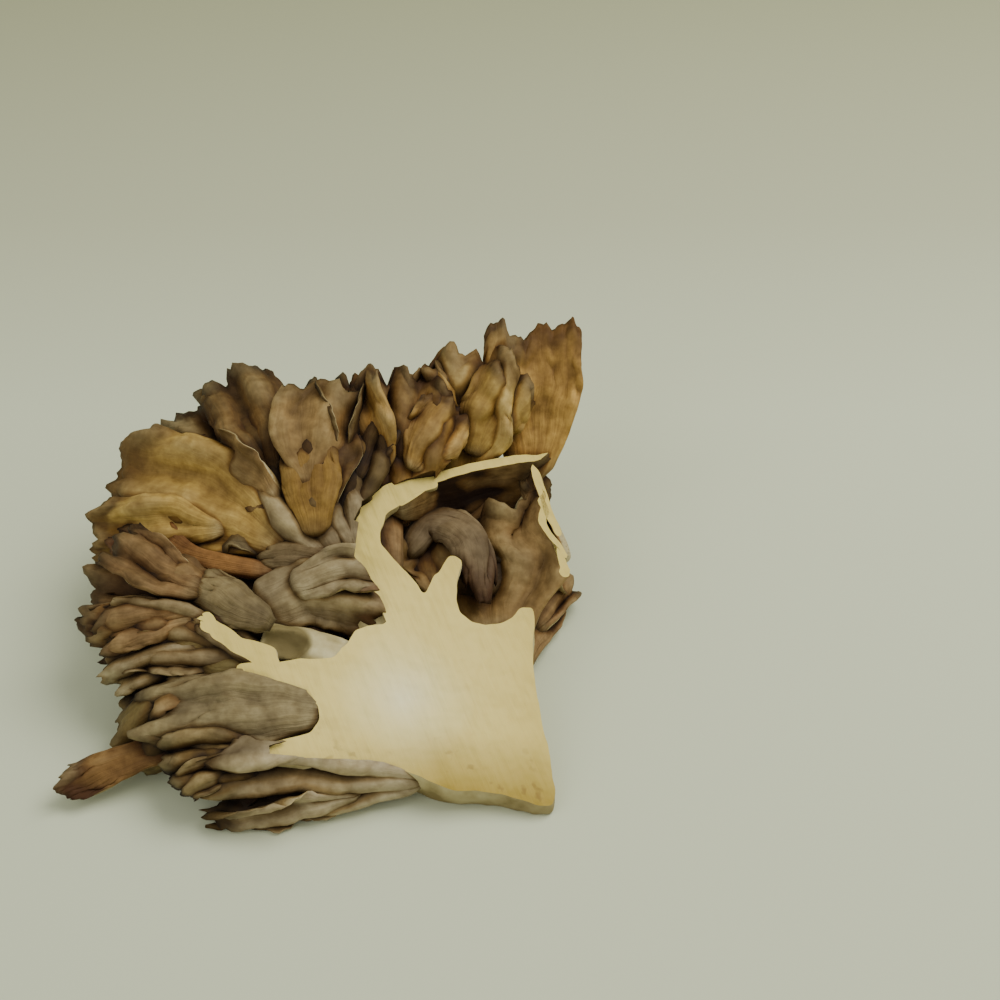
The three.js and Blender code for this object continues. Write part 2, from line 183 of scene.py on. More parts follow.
# Fronds that the cut side shows: the spine from root to tip, the way the brown side looks, the
# widths of stalk and cap, where it opens, the lift of its side margins, the number and height of
# its folds, and its skin. Some also say how many side lobes they have, how wild their finer relief
# is and how far their corners stay behind. A cut frond ends at the knife.
CUT_SIDE_FRONDS = {
    "frond_finger": dict(
        spine=[(-14, -61, 15), (-50, -68, 13), (-78, -78, 7)], face=(0, -0.5, 1), widths=(9, 12),
        opens=SPOON, cup=-0.2, waves=1, ripple=1, lobes=0, wild=0.5, corner=0.2, skin="finger"),
    "frond_front_skirt": dict(
        spine=[(38, -73, 8), (4, -80, 12), (-36, -80, 11)], face=(0, -1, 0.3), widths=(9, 29),
        opens=FAN, cup=-0.15, waves=3, ripple=2.5, wild=0.9, lobes=1, skin="skirt"),
    "frond_front_crumple": dict(
        spine=[(-6, -72, 14), (-26, -73, 18), (-46, -72, 14)], face=(-0.2, -0.6, 1), widths=(9, 20),
        opens=FAN, cup=0.2, waves=3, ripple=2.5, lobes=1, skin="dark"),
    "frond_grey_left": dict(
        spine=[(6, -58, 20), (-20, -62, 28), (-56, -61, 20)], face=(0, -0.5, 1), widths=(15, 25),
        opens=FAN, cup=-0.15, waves=2, ripple=1.2, wild=0.7, lobes=0, skin="grey"),
    "frond_olive": dict(
        spine=[(-16, -50, 24), (-42, -50, 23), (-64, -47, 17)], face=(-0.2, -0.6, 0.8),
        widths=(22, 36), opens=FAN, cup=0.1, waves=1, ripple=1.5, lobes=1, skin="olive"),
    "frond_brown_corner": dict(
        spine=[(-16, -30, 36), (-47, -27, 39), (-76, -16, 34)], face=(0, -0.5, 1), widths=(16, 32),
        opens=FAN, cup=0.1, waves=2, ripple=2.5, lobes=3, skin="brown"),
    "frond_brown_lower": dict(
        spine=[(-16, -41, 30), (-45, -37, 32), (-70, -31, 25)], face=(0, -0.6, 0.8),
        widths=(12, 24), opens=FAN, cup=0.25, waves=3, ripple=2, lobes=1, skin="pale"),
    "frond_light_grey": dict(
        spine=[(-12, -36, 37), (-27, -30, 42), (-42, -20, 40)], face=(0.2, -0.6, 1), widths=(9, 16),
        opens=FAN, cup=-0.4, waves=1, ripple=1.2, lobes=0, wild=0.9, skin="grey"),
    "frond_reddish": dict(
        spine=[(-10, -14, 37), (-42, -8, 40), (-70, 10, 35)], face=(0, -0.5, 1), widths=(7, 20),
        opens=SPOON, cup=0.3, waves=1, ripple=1, lobes=0, wild=0.5, skin="russet"),
    "frond_golden": dict(
        spine=[(-8, -8, 42), (-40, 10, 48), (-78, 30, 40)], face=(-0.2, -0.6, 0.9), widths=(12, 42),
        opens=FAN, cup=0.1, waves=2, ripple=2, lobes=1, wild=0.7, skin="golden"),
    "frond_crown_left": dict(
        spine=[(-6, -4, 44), (-26, 22, 54), (-54, 56, 51)], face=(-0.3, -0.6, 0.8), widths=(14, 42),
        opens=FAN, cup=-0.14, waves=3, ripple=3, lobes=3, wild=0.9, skin="bark"),
    "frond_crown_lobe": dict(
        spine=[(0, -6, 46), (-2, 6, 60), (-4, 24, 65)], face=(0, -1, 0.5), widths=(10, 20),
        opens=FAN, cup=-0.4, waves=1, ripple=1, lobes=0, wild=0.7, skin="golden"),
    "frond_crown_tan": dict(
        spine=[(-2, -4, 44), (-10, 12, 57), (-23, 47, 61)], face=(-0.1, -0.8, 0.6), widths=(16, 50),
        opens=FAN, cup=-0.15, waves=2, ripple=3, lobes=3, wild=0.8, skin="umber"),
    "frond_crown_dark": dict(
        spine=[(9, 0, 44), (8, 22, 58), (6, 53, 66)], face=(0.1, -0.8, 0.6), widths=(12, 32),
        opens=FAN, cup=0.2, waves=3, ripple=3, skin="dark"),
    "frond_crown_striped": dict(
        spine=[(25, 17, 42), (26, 27, 57), (28, 52, 71)], face=(0, -0.9, 0.5), widths=(16, 38),
        opens=FAN, cup=0.1, waves=3, ripple=2.5, lobes=3, skin="tan"),
    "frond_back_golden": dict(
        spine=[(44, 29, 33), (47, 42, 54), (50, 62, 74)], face=(-0.2, -0.9, 0.5), widths=(18, 36),
        opens=FAN, cup=0.1, waves=2, ripple=2.5, lobes=3, skin="golden"),
    "frond_back_tall": dict(
        spine=[(70, 34, 34), (71, 50, 57), (71, 73, 79)], face=(0, -0.9, 0.5), widths=(16, 34),
        opens=FAN, cup=0.2, waves=1, ripple=2, lobes=0, wild=0.8, skin="amber"),
    "frond_mid_left": dict(
        spine=[(8, -12, 38), (-6, 0, 51), (-19, 18, 55)], face=(-0.2, -0.5, 0.9), widths=(9, 24),
        opens=FAN, cup=-0.05, waves=2, ripple=2.5, lobes=0, skin="pale"),
    "frond_mid_right": dict(
        spine=[(12, -6, 40), (10, 4, 51), (2, 20, 57)], face=(0.2, -0.5, 0.9), widths=(9, 22),
        opens=FAN, cup=-0.1, waves=2, ripple=2, lobes=0, skin="pale"),
    "frond_pale_fold": dict(
        spine=[(12, -14, 38), (-4, -11, 43), (-20, -10, 41)], face=(0, -0.5, 1), widths=(8, 11),
        opens=FAN, cup=-0.3, waves=1, ripple=0.8, lobes=0, wild=0.5, skin="pale"),
    "frond_boulder": dict(
        spine=[(-20, -26, 31), (2, -21, 37), (26, -25, 31)], face=(0, -0.6, 0.8), widths=(20, 24),
        opens=FAN, cup=-0.35, waves=2, ripple=1.5, lobes=1, wild=0.9, skin="boulder"),
    "frond_cut_wave": dict(
        spine=[(-10, -47, 30), (-27, -41, 36), (-38, -34, 39)], face=(0.2, -1, 0), widths=(9, 9),
        opens=FAN, cup=0.1, waves=1, ripple=1.5, lobes=0, wild=0.6, skin="pale", cut=True),
    "frond_arch_cap": dict(
        spine=[(22, 11, 44), (45, 24, 44), (82, 38, 43)], face=(0.4, -1, 0.1), widths=(14, 40),
        opens=FAN, cup=0.15, waves=1, ripple=1, lobes=0, wild=0.4, skin="umber", cut=True),
    "frond_arch_edge": dict(
        spine=[(80, 2, 24), (76, 16, 36), (69, 31, 45)], face=(-1, -0.4, 0.2), widths=(12, 14),
        opens=FAN, cup=0.1, waves=1, ripple=1, lobes=0, wild=0.5, skin="brown", cut=True),
    "frond_arch_back": dict(
        spine=[(58, -27, 13), (57, 1, 24), (52, 22, 36)], face=(-0.1, -0.6, 0.8), widths=(24, 56),
        opens=FAN, cup=0.25, waves=3, ripple=2, lobes=0, skin="umber", cut=True),
    "frond_right_flank": dict(
        spine=[(62, -32, 9), (70, -4, 12), (72, 26, 8)], face=(0.4, 0.3, 1), widths=(14, 26),
        opens=FAN, cup=-0.3, waves=2, ripple=1.5, skin="brown"),
    "frond_arch_hook": dict(
        spine=[(27, 3, 26), (37, 13, 35), (50, 3, 36), (53, -17, 27)], face=(0, -0.3, 1),
        widths=(9, 14), opens=FAN, cup=-0.3, waves=1, ripple=0.5, lobes=0, wild=0.6, corner=0.5,
        skin="rosy"),
}

# Fronds of the rounded outside, in rows like roof tiles. Angles are about the trunk's centre in
# plan. Towards the left and the right they lie lower, and at the right they are shorter.
TRUNK_CENTRE = (42, -51)
OUTER_ROWS = [
    dict(row="upper", count=6, turn=(170, 77), root=42, reach=100, rise=(30, 42, 29), cap=44),
    dict(row="middle", count=5, turn=(174, 80), root=34, reach=92, rise=(18, 25, 11), cap=46),
    dict(row="lower", count=4, turn=(178, 84), root=26, reach=74, rise=(10, 6, -14), cap=42),
]
LOWER_LEFT = dict(share=0.5, start=128, end=172)
LOWER_RIGHT = dict(share=0.62, start=120, end=92)
SHORTER_RIGHT = dict(share=0.85, start=100, end=76)
OUTER_SEED = 11
OUTER_SKINS = ("brown", "tan", "grey")

# The palest spot of the core, in the tables' millimetres.
CORE_CENTRE = Vector((29, -54, 23))
# The middle of the oval pit that the knife opened in the left branch.
PIT_CENTRE = Vector((-8, -40, 34))

# Cap skins: the cap, a darker brown for its streaks, its blotches and the painted shade in the
# hollows between its folds, its margin, and how strongly it is streaked.
SKINS = {
    "skirt": dict(cap="#c4b591", fold="#827355", margin="#4a3a23", streak=0.3),
    "pale": dict(cap="#b0a17e", fold="#6b5c40", margin="#cbbf95", streak=0.3),
    "rosy": dict(cap="#a08f6f", fold="#61513a", margin="#5f3f2a", streak=0.25),
    "boulder": dict(cap="#ab9b74", fold="#6a5b40", margin="#7a5a3b", streak=0.3),
    "umber": dict(cap="#a0824e", fold="#624b29", margin="#765f36", streak=0.35),
    "grey": dict(cap="#998a62", fold="#5e5037", margin="#6f6243", streak=0.36),
    "olive": dict(cap="#a99b62", fold="#5e4f2d", margin="#b4aa79", streak=0.32),
    "golden": dict(cap="#cfae5c", fold="#8a6a35", margin="#4a3415", streak=0.4),
    "amber": dict(cap="#f0c56a", fold="#83602f", margin="#4a3414", streak=0.4),
    "tan": dict(cap="#c19a50", fold="#70532a", margin="#3d2b12", streak=0.5),
    "brown": dict(cap="#b19060", fold="#6a5230", margin="#392a15", streak=0.48),
    "bark": dict(cap="#82622f", fold="#4a351a", margin="#2b1e0e", streak=0.48),
    "russet": dict(cap="#a5773f", fold="#623f22", margin="#4b2d19", streak=0.28),
    "finger": dict(cap="#8f6c3a", fold="#583a1f", margin="#3f2412", streak=0.3),
    "dark": dict(cap="#77613a", fold="#3c2d18", margin="#261e0f", streak=0.4),
}
STALK_FLESH = "#a2946c"

# The two ends of every ramp that only says where something lies.
WHITE = "#ffffff"
BLACK = "#000000"

# The studio. Place of each light, its width and its power in watts, the pale air, what the camera
# looks at, in the tables' millimetres, half the paper's width, and how far back and how steeply it
# starts to sweep up behind the object.
LIGHTS = (("key_light", (0.7, 0.25, 1.2), 0.9, 17), ("fill_light", (-0.9, -0.8, 1.1), 1.4, 7))
AIR = "#e9ebe4"
AIR_STRENGTH = 0.55
LOOKED_AT = Vector((60, 62, 0))
VIEW_ANGLE = math.radians(35)
PAPER_HALF = 2.5
SWEEP_START = 0.9
SWEEP = 1.2


def smooth(value, low, high):
    """An eased step from 0 to 1 between low and high."""
    share = min(1.0, max(0.0, (value - low) / (high - low)))
    return share * share * (3 - 2 * share)


def mix(a, b, share):
    """The value a share of the way from a to b."""
    return a + (b - a) * share


def linear(hex_colour):
    """An sRGB hex colour as linear red, green, blue and alpha."""
    parts = [int(hex_colour[i:i + 2], 16) / 255 for i in (1, 3, 5)]
    return (*(c / 12.92 if c <= 0.04045 else ((c + 0.055) / 1.055) ** 2.4 for c in parts), 1.0)


def seeded_draws(seed):
    """The part's own repeatable draws between 0 and 1."""
    state = seed
    while True:
        state = state * 16807 % 2147483647
        yield state / 2147483647


def along_spine(points, share):
    """Point and direction on the smooth curve through the points, a share of the way along."""
    spots = [Vector(p) for p in points]
    spots = [2 * spots[0] - spots[1], *spots, 2 * spots[-1] - spots[-2]]
    place = min(max(share, 0.0), 1.0) * (len(points) - 1)
    i = min(int(place), len(points) - 2)
    t = place - i
    before, start, end, after = spots[i:i + 4]
    leave, arrive = (end - before) / 2, (after - start) / 2
    point = (
        start * (2 * t**3 - 3 * t**2 + 1) + leave * (t**3 - 2 * t**2 + t)
        + end * (3 * t**2 - 2 * t**3) + arrive * (t**3 - t**2)
    )
    way = (
        start * (6 * t**2 - 6 * t) + leave * (3 * t**2 - 4 * t + 1)
        + end * (6 * t - 6 * t**2) + arrive * (3 * t**2 - 2 * t)
    )
    return point, way.normalized()


def set_sockets(tree, node, inputs):
    """Sets a node's sockets to values, or links them to other sockets or to other nodes."""
    for key, value in inputs.items():
        socket = next(s for i, s in enumerate(node.inputs) if s.enabled and key in (i, s.name))
        if isinstance(value, bpy.types.Node):
            value = next(s for s in value.outputs if s.enabled)
        if isinstance(value, bpy.types.NodeSocket):
            tree.links.new(value, socket)
        else:
            socket.default_value = value


def add_node(tree, kind, inputs=None, stops=(), **settings):
    """A shader node with its settings, its colour stops, and its sockets set or linked."""
    node = tree.nodes.new(kind)
    for name, value in settings.items():
        setattr(node, name, value)
    elements = node.color_ramp.elements if stops else ()
    while len(elements) < len(stops):
        elements.new(0.5)
    for element, (place, colour) in zip(elements, stops):
        element.position = place
        element.color = linear(colour)
    set_sockets(tree, node, inputs or {})
    return node


def tinted(tree, colour, layers):
    """A colour turned to other tints, each by a source that stops shape and by a strength."""
    for source, stops, strength, tint in layers:
        shape = add_node(tree, "ShaderNodeValToRGB", {"Fac": source}, stops)
        share = add_node(tree, "ShaderNodeMath", {0: shape, 1: strength}, operation="MULTIPLY")
        colour = add_node(tree, "ShaderNodeMix", {
            "Factor": share, "A": colour, "B": linear(tint)}, data_type="RGBA")
    return colour


def shaded(tree, colour, layers):
    """A colour multiplied by shades, each taken from a source by stops, by a strength."""
    for source, stops, strength in layers:
        shade = add_node(tree, "ShaderNodeValToRGB", {"Fac": source}, stops)
        colour = add_node(tree, "ShaderNodeMix", {
            "Factor": strength, "A": colour, "B": shade}, data_type="RGBA", blend_type="MULTIPLY")
    return colour


def with_painted_shade(tree, colour):
    """A skin colour with painted shade, deeper and browner where other skin crowds in."""
    gloom = add_node(tree, "ShaderNodeAttribute", attribute_name="gloom").outputs["Fac"]
    return shaded(tree, colour, [(gloom, [(0.1, WHITE), (0.3, "#c8b698"), (0.62, "#58462f")], 1.0)])


def apart_from(tree, place):
    """How far a spot of the object is from a place given in the tables' millimetres, in metres."""
    spot = add_node(tree, "ShaderNodeTexCoord").outputs["Object"]
    return add_node(tree, "ShaderNodeVectorMath", {
        0: spot, 1: tuple((place - MIDDLE) * MM)}, operation="DISTANCE")


def new_material(name, roughness):
    """An empty material with a principled shader that reflects about as much as dry flesh."""
    material = bpy.data.materials.new(name)
    material.use_nodes = True
    shader = material.node_tree.nodes["Principled BSDF"]
    shader.inputs["Roughness"].default_value = roughness
    shader.inputs["IOR"].default_value = 1.38
    shader.inputs["Specular IOR Level"].default_value = 0.35
    return material, material.node_tree, shader


def cap_skin(name, look):
    """Maitake cap skin: dry and matt, streaked from the stalk to the margin, which dries darker."""
    material, tree, shader = new_material(f"{name} cap skin", 0.72)
    uv = add_node(tree, "ShaderNodeUVMap", uv_map="frond")
    across, along = add_node(tree, "ShaderNodeSeparateXYZ", {"Vector": uv}).outputs[:2]
    relief = add_node(tree, "ShaderNodeUVMap", uv_map="relief")
    relief, tone = add_node(tree, "ShaderNodeSeparateXYZ", {"Vector": relief}).outputs[:2]
    place = add_node(tree, "ShaderNodeTexCoord").outputs["Object"]
    blotch = add_node(tree, "ShaderNodeTexNoise", {
        "Vector": place, "Scale": 1 / (14 * MM), "Detail": 4.0})
    freckle = add_node(tree, "ShaderNodeTexNoise", {
        "Vector": place, "Scale": 1 / (3.2 * MM), "Detail": 5.0})
    # Streaks about 2 mm wide on a cap 35 mm across, wandering slowly along it.
    wander = add_node(tree, "ShaderNodeMath", {
        0: blotch, 1: 0.12, 2: across}, operation="MULTIPLY_ADD")
    lines = add_node(tree, "ShaderNodeCombineXYZ", {
        "X": add_node(tree, "ShaderNodeMath", {0: wander, 1: 20.0}, operation="MULTIPLY"),
        "Y": add_node(tree, "ShaderNodeMath", {0: along, 1: 2.8}, operation="MULTIPLY")})
    streak = add_node(tree, "ShaderNodeTexNoise", {"Vector": lines, "Scale": 1.0, "Detail": 5.0})
    # The stalk is pale and the margin dark, with blotchy borders.
    shift = add_node(tree, "ShaderNodeMath", {
        0: blotch, 1: 0.22, 2: -0.11}, operation="MULTIPLY_ADD")
    reach = add_node(tree, "ShaderNodeMath", {0: along, 1: shift}, operation="ADD")
    base = add_node(tree, "ShaderNodeValToRGB", {"Fac": reach}, [
        (0.0, STALK_FLESH), (0.2, look["cap"]), (0.8, look["cap"]),
        (0.92, look["margin"]), (1.0, look["margin"])])
    # Painted shade darkens the hollows between folds, and a painted highlight makes the folds'
    # crests paler.
    lowered = add_node(tree, "ShaderNodeMath", {0: relief, 1: 0.06}, operation="SUBTRACT")
    folds = add_node(tree, "ShaderNodeMath", {
        0: freckle, 1: 0.12, 2: lowered}, operation="MULTIPLY_ADD")
    colour = tinted(tree, base, [
        (streak, [(0.38, WHITE), (0.62, BLACK)], look["streak"], look["fold"]),
        (folds, [(0.22, WHITE), (0.52, BLACK)], 0.85, look["fold"]),
        (folds, [(0.52, BLACK), (0.85, WHITE)], 0.42, "#cbb780"),
        (blotch, [(0.4, BLACK), (0.68, WHITE)], 0.55, look["fold"])])
    # Specks, and a tone of each cap's own: no two caps of a cluster are equally dark.
    colour = shaded(tree, colour, [
        (freckle, [(0.3, "#c9c0b0"), (0.7, WHITE)], 0.8),
        (tone, [(0.0, "#b5a68f"), (0.6, WHITE)], 0.9)])
    height = add_node(tree, "ShaderNodeMath", {
        0: freckle, 1: 0.5, 2: streak}, operation="MULTIPLY_ADD")
    bump = add_node(tree, "ShaderNodeBump", {
        "Height": height, "Strength": 0.5, "Distance": 1.1 * MM})
    set_sockets(tree, shader, {"Base Color": with_painted_shade(tree, colour), "Normal": bump})
    return material


def pore_layer():
    """Maitake underside: pale, with pores 1.2 mm apart, coarser than real, so that they show."""
    material, tree, shader = new_material("pore layer", 0.8)
    uv = add_node(tree, "ShaderNodeUVMap", uv_map="frond")
    along = add_node(tree, "ShaderNodeSeparateXYZ", {"Vector": uv}).outputs["Y"]
    place = add_node(tree, "ShaderNodeTexCoord").outputs["Object"]
    pores = add_node(tree, "ShaderNodeTexVoronoi", {"Vector": place, "Scale": 1 / (1.2 * MM)})
    stain = add_node(tree, "ShaderNodeTexNoise", {
        "Vector": place, "Scale": 1 / (11 * MM), "Detail": 4.0})
    shifted = add_node(tree, "ShaderNodeMath", {0: along, 1: 0.12}, operation="SUBTRACT")
    reach = add_node(tree, "ShaderNodeMath", {
        0: stain, 1: 0.25, 2: shifted}, operation="MULTIPLY_ADD")
    base = add_node(tree, "ShaderNodeValToRGB", {"Fac": reach}, [
        (0.0, "#bfb186"), (0.5, "#b3a376"), (0.88, "#8f7d53"), (1.0, "#54421f")])
    pored = shaded(tree, base, [(pores, [(0.1, "#8d7c58"), (0.42, WHITE)], 0.5)])
    bump = add_node(tree, "ShaderNodeBump", {
        "Height": pores, "Strength": 0.4, "Distance": 0.4 * MM})
    set_sockets(tree, shader, {"Base Color": with_painted_shade(tree, pored), "Normal": bump})
    return material


def cut_flesh():
    """Cut maitake flesh: cream, faintly fibrous, whiter in the middle, yellow-brown at the foot."""
    material, tree, shader = new_material("cut flesh", 0.62)
    shader.inputs["Subsurface Weight"].default_value = 0.05
    shader.inputs["Subsurface Radius"].default_value = (0.004, 0.003, 0.0015)
    place = add_node(tree, "ShaderNodeTexCoord").outputs["Object"]
    right, back = add_node(tree, "ShaderNodeSeparateXYZ", {"Vector": place}).outputs[:2]
    cloud = add_node(tree, "ShaderNodeTexNoise", {
        "Vector": place, "Scale": 1 / (22 * MM), "Detail": 3.0})
    # Fibres 2.4 mm apart, coarser than real, so that they show.
    grain = add_node(tree, "ShaderNodeMapping", {
        "Vector": place, "Rotation": (0, 0, math.radians(115)),
        "Scale": (26 * MM, 2.4 * MM, 26 * MM)}, vector_type="TEXTURE")
    fibre = add_node(tree, "ShaderNodeTexNoise", {"Vector": grain, "Scale": 1.0, "Detail": 3.0})
    # White in the middle of the core and yellower towards its rim, about 40 mm away.
    reach = add_node(tree, "ShaderNodeMath", {
        0: cloud, 1: 16 * MM, 2: apart_from(tree, CORE_CENTRE)}, operation="MULTIPLY_ADD")
    share = add_node(tree, "ShaderNodeMapRange", {
        "Value": reach, "From Min": 6 * MM, "From Max": 56 * MM})
    pale = add_node(tree, "ShaderNodeValToRGB", {"Fac": share}, [
        (0.0, "#fbf0bc"), (0.25, "#f5e49c"), (0.5, "#ebd57e"), (0.8, "#e6cf76"), (1.0, "#dcc56c")])
    # The foot turns yellow-brown over its last 20 mm or so towards the front, with brown spots.
    foot = add_node(tree, "ShaderNodeMath", {
        0: cloud, 1: 14 * MM, 2: back}, operation="MULTIPLY_ADD")
    foot_share = add_node(tree, "ShaderNodeMapRange", {
        "Value": foot, "From Min": -46 * MM, "From Max": -66 * MM})
    right_share = add_node(tree, "ShaderNodeMapRange", {
        "Value": right, "From Min": 0.0, "From Max": 38 * MM})
    stain_share = add_node(tree, "ShaderNodeMath", {
        0: foot_share, 1: right_share}, operation="MULTIPLY")
    stained = add_node(tree, "ShaderNodeMix", {
        "Factor": stain_share, "A": pale, "B": linear("#a98f3a")}, data_type="RGBA")
    spots = add_node(tree, "ShaderNodeTexNoise", {
        "Vector": place, "Scale": 1 / (4.5 * MM), "Detail": 2.0})
    spot_strength = add_node(tree, "ShaderNodeMath", {0: foot_share, 1: 0.55}, operation="MULTIPLY")
    colour = tinted(tree, stained, [
        (spots, [(0.62, BLACK), (0.7, WHITE)], spot_strength, "#7a5a2a")])
    colour = shaded(tree, colour, [(fibre, [(0.35, "#dcd5c0"), (0.6, WHITE)], 0.1)])
    height = add_node(tree, "ShaderNodeMath", {
        0: cloud, 1: 14.0, 2: fibre}, operation="MULTIPLY_ADD")
    bump = add_node(tree, "ShaderNodeBump", {
        "Height": height, "Strength": 0.5, "Distance": 0.9 * MM})
    set_sockets(tree, shader, {"Base Color": colour, "Normal": bump})
    return material


def trunk_skin():
    """The trunk's uncut outside: dull cream with tan stains, and olive brown in the oval pit."""
    material, tree, shader = new_material("trunk skin", 0.75)
    place = add_node(tree, "ShaderNodeTexCoord").outputs["Object"]
    height = add_node(tree, "ShaderNodeSeparateXYZ", {"Vector": place}).outputs["Z"]
    stain = add_node(tree, "ShaderNodeTexNoise", {
        "Vector": place, "Scale": 1 / (9 * MM), "Detail": 5.0})
    base = add_node(tree, "ShaderNodeValToRGB", {"Fac": stain}, [
        (0.32, "#8f8052"), (0.5, "#b9aa78"), (0.68, "#d0c493")])
    # Darker brown over the lowest 14 mm.
    low = add_node(tree, "ShaderNodeMapRange", {
        "Value": height, "From Min": 14 * MM, "From Max": 0.0})
    low_share = add_node(tree, "ShaderNodeMath", {0: low, 1: 0.6}, operation="MULTIPLY")
    inside = add_node(tree, "ShaderNodeMapRange", {
        "Value": apart_from(tree, PIT_CENTRE), "From Min": 9 * MM, "From Max": 7 * MM})
    colour = base
    for share, tint in ((low_share, "#5d4a27"), (inside, "#7d6f45")):
        colour = add_node(tree, "ShaderNodeMix", {
            "Factor": share, "A": colour, "B": linear(tint)}, data_type="RGBA")
    bump = add_node(tree, "ShaderNodeBump", {
        "Height": stain, "Strength": 0.6, "Distance": 1.2 * MM})
    set_sockets(tree, shader, {"Base Color": colour, "Normal": bump})
    return material


def studio_paper():
    """Pale matt studio paper, with painted shade that darkens it towards the back."""
    material, tree, shader = new_material("studio paper", 0.9)
    place = add_node(tree, "ShaderNodeTexCoord").outputs["Object"]
    depth = add_node(tree, "ShaderNodeSeparateXYZ", {"Vector": place}).outputs["Y"]
    share = add_node(tree, "ShaderNodeMapRange", {
        "Value": depth, "From Min": 0.12, "From Max": 0.6})
    paper = add_node(tree, "ShaderNodeValToRGB", {"Fac": share}, [
        (0.0, "#d0d5b5"), (0.3, "#bcbe9d"), (1.0, "#a4a57e")])
    set_sockets(tree, shader, {"Base Color": paper})
    return material


def rough(scale, *place):
    """Smooth noise about zero, at a place measured in lengths of the given scale."""
    return noise.noise(Vector(place) / scale)


def sheet_point(frond, u, v):
    """A point of a frond's middle sheet and its relief: u is -1 to 1 across, v is 0 to 1 along."""
    opened = smooth(v, *frond["opens"])
    stalk, cap = frond["widths"]
    half = mix(stalk, cap, opened) / 2 * mix(0.5, 1, smooth(v, 0, 0.12))
    phase = frond["phase"]
    turn = frond["waves"] * math.pi * u + phase
    wild = frond.get("wild", 1)
    ragged = sum(depth * rough(size, u, phase, seed) for depth, size, seed in RAGGED)
    corner = CORNER_LAG * frond.get("corner", 1) * (1 - math.sqrt(1 - 0.96 * u * u))
    lag = corner + SCALLOP * (1 - math.cos(turn)) / 2 + wild * ragged
    along = min(max(v * (1 - opened * lag), 0), 1)
    place, way = along_spine(frond["spine"], along)
    upper = (frond["up"] - way * frond["up"].dot(way)).normalized()
    sideways = way.cross(upper)
    fold = frond["ripple"] * opened * math.sin(turn)
    x, y = u * half, v * frond["reach"]
    crumple = opened * sum(
        share * CRUMPLE * rough(size, x, y, 40 * phase) for share, size in DENTS)
    ridge = RIDGE * opened * rough(0.2, u, v / 6, phase)
    edge = max(smooth(v, 0.7, 1), smooth(abs(u), 0.7, 1) * opened)
    curl = CURL * edge * edge * rough(CURL_SIZE, x, y, 3 + 40 * phase)
    frill = FRILL * edge * rough(FRILL_SIZE, x, y, 9 + 40 * phase)
    # The margins also wander to the sides.
    wander = 0.12 * half * rough(11, y, 50 * phase, 5) + 0.5 * edge * rough(4, x, y, 70 * phase)
    relief = fold + ridge + wild * (crumple + curl + frill)
    place = place + sideways * (half * u + wild * wander)
    place = place + upper * (frond["cup"] * half * u * u * opened + relief)
    lift = place.z - REST_HEIGHT
    # Far over the floor the bend changes nothing.
    if lift < 8 * REST_BEND:
        place.z = REST_HEIGHT + REST_BEND * math.log1p(math.exp(lift / REST_BEND))
    return place, relief


def half_thickness(u, v):
    """Half the thickness there: a thick stalk, a thin cap, and nothing at the margins."""
    thick = mix(STALK_THICK, CAP_THICK, smooth(v, 0.05, 0.45)) / 2
    edge = math.sqrt(max(0.0, 1 - u**4))
    ends = min(1.0, v / 0.06) * math.sqrt(max(0.0, 1 - smooth(v, 0.8, 1) ** 3))
    return thick * edge * ends


def frond_mesh(name, frond, steps, skins):
    """A frond as a closed blade: a grid laid on its middle sheet, with its upper and lower face."""
    across, along = steps
    blade = bmesh.new()
    uv_layer = blade.loops.layers.uv.new("frond")
    relief_layer = blade.loops.layers.uv.new("relief")
    tone = random.Random(round(1000 * frond["phase"])).random()
    bmesh.ops.create_grid(blade, x_segments=across, y_segments=along, size=1, calc_uvs=False)
    spine = frond["spine"]
    frond["reach"] = sum((Vector(b) - Vector(a)).length for a, b in zip(spine, spine[1:]))
    spots = {}
    for vert in blade.verts:
        u, v = math.sin(vert.co.x * math.pi / 2), (vert.co.y + 1) / 2
        vert.co, relief = sheet_point(frond, u, v)
        spots[vert.index] = (u, v, relief)
    for face in blade.faces:
        for loop in face.loops:
            u, v, relief = spots[loop.vert.index]
            loop[uv_layer].uv = ((u + 1) / 2, v)
            loop[relief_layer].uv = (0.5 + relief / RELIEF_SPAN, tone)
    blade.normal_update()
    slimness = min(1, frond["widths"][0] / SOLID_STALK)
    upper_verts = blade.verts[:]
    copied = bmesh.ops.duplicate(blade, geom=blade.faces[:])
    lower_faces = [item for item in copied["geom"] if isinstance(item, bmesh.types.BMFace)]
    border = {}
    for vert in upper_verts:
        below = copied["vert_map"][vert]
        push = vert.normal * half_thickness(*spots[vert.index][:2]) * slimness
        below.co = vert.co - push
        vert.co += push
        if vert.is_boundary:
            border[below] = vert
    for face in lower_faces:
        face.material_index = UNDER
    bmesh.ops.reverse_faces(blade, faces=lower_faces)
    bmesh.ops.weld_verts(blade, targetmap=border)
    for vert in blade.verts:
        vert.co = (vert.co - MIDDLE) * MM
    piece = finished(blade, name)
    for material in skins:
        piece.data.materials.append(material)
    return piece


def finished(body, name):
    """The mesh as an object, shaded smooth except where it was cut or gave way to something."""
    for face in body.faces:
        face.smooth = face.material_index < CUT
    for edge in body.edges:
        edge.smooth = len({max(face.material_index, UNDER) for face in edge.link_faces}) < 2
    mesh = bpy.data.meshes.new(name)
    body.to_mesh(mesh)
    body.free()
    piece = bpy.data.objects.new(name, mesh)
    bpy.context.collection.objects.link(piece)
    return piece


